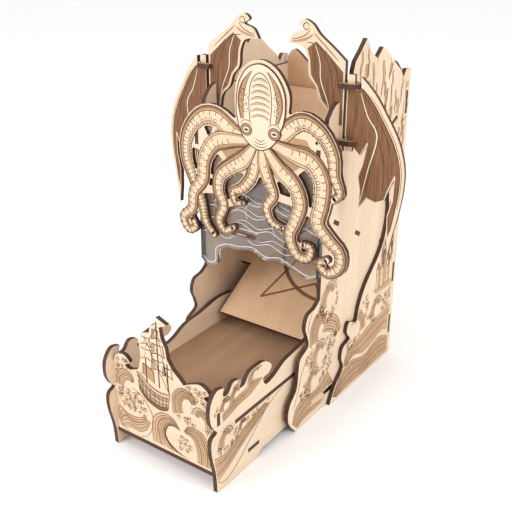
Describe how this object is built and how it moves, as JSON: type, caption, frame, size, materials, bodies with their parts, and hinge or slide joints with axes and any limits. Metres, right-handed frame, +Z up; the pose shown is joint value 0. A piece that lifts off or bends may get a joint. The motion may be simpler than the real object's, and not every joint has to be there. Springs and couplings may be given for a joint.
{
  "type": "dice tower",
  "caption": "Slot-together plywood dice tower with internal ramps, a clear front screen, an octopus front plate, swinging wings and a catch tray that slides into the base",
  "frame": {"origin": "on the table, under the centre of the object's bounding box, with the tray pulled out", "axes": "+Z up, -Y toward the open tray and the octopus front, +X to the right of someone facing the back panel from the front"},
  "size_m": [0.182, 0.2123, 0.2595],
  "materials": {
    "plywood": "sanded birch plywood, bare",
    "engraved_plywood": "sanded birch plywood with brown laser engraving",
    "wing_plywood": "birch plywood engraved solid brown with pale bones",
    "clear_acrylic": "clear cast acrylic with frosted engraving"
  },
  "bodies": {
    "tower": {"wall_left": "plywood", "wall_right": "plywood", "cliff_panel_left": "engraved_plywood", "cliff_panel_right": "engraved_plywood", "back_panel": "plywood", "exit_ramp": "plywood", "lower_baffle": "plywood", "upper_baffle": "plywood", "octopus_facade": "engraved_plywood", "storm_screen": "clear_acrylic", "inner_wing_left": "wing_plywood", "inner_wing_right": "wing_plywood", "upper_hinge_plate_left": "plywood", "upper_hinge_plate_right": "plywood", "lower_hinge_plate_left": "plywood", "lower_hinge_plate_right": "plywood"},
    "tray": {"tray_floor": "plywood", "tray_base": "plywood", "tray_front_panel": "engraved_plywood", "tray_side_left": "engraved_plywood", "tray_side_right": "engraved_plywood"},
    "left_wing": {"outer_wing_left": "wing_plywood"},
    "right_wing": {"outer_wing_right": "wing_plywood"}
  },
  "joints": [
    {"name": "tray_slide", "type": "slide", "parent": "tower", "child": "tray", "axis": [0, 1, 0], "range_m": [0, 0.075]},
    {"name": "left_wing_swing", "type": "hinge", "parent": "tower", "child": "left_wing", "pos_m": [-0.055, 0.0175, 0.2075], "axis": [0, 0, -1], "range_deg": [-45, 75]},
    {"name": "right_wing_swing", "type": "hinge", "parent": "tower", "child": "right_wing", "pos_m": [0.055, 0.0175, 0.2075], "axis": [0, 0, 1], "range_deg": [-45, 75]}
  ]
}
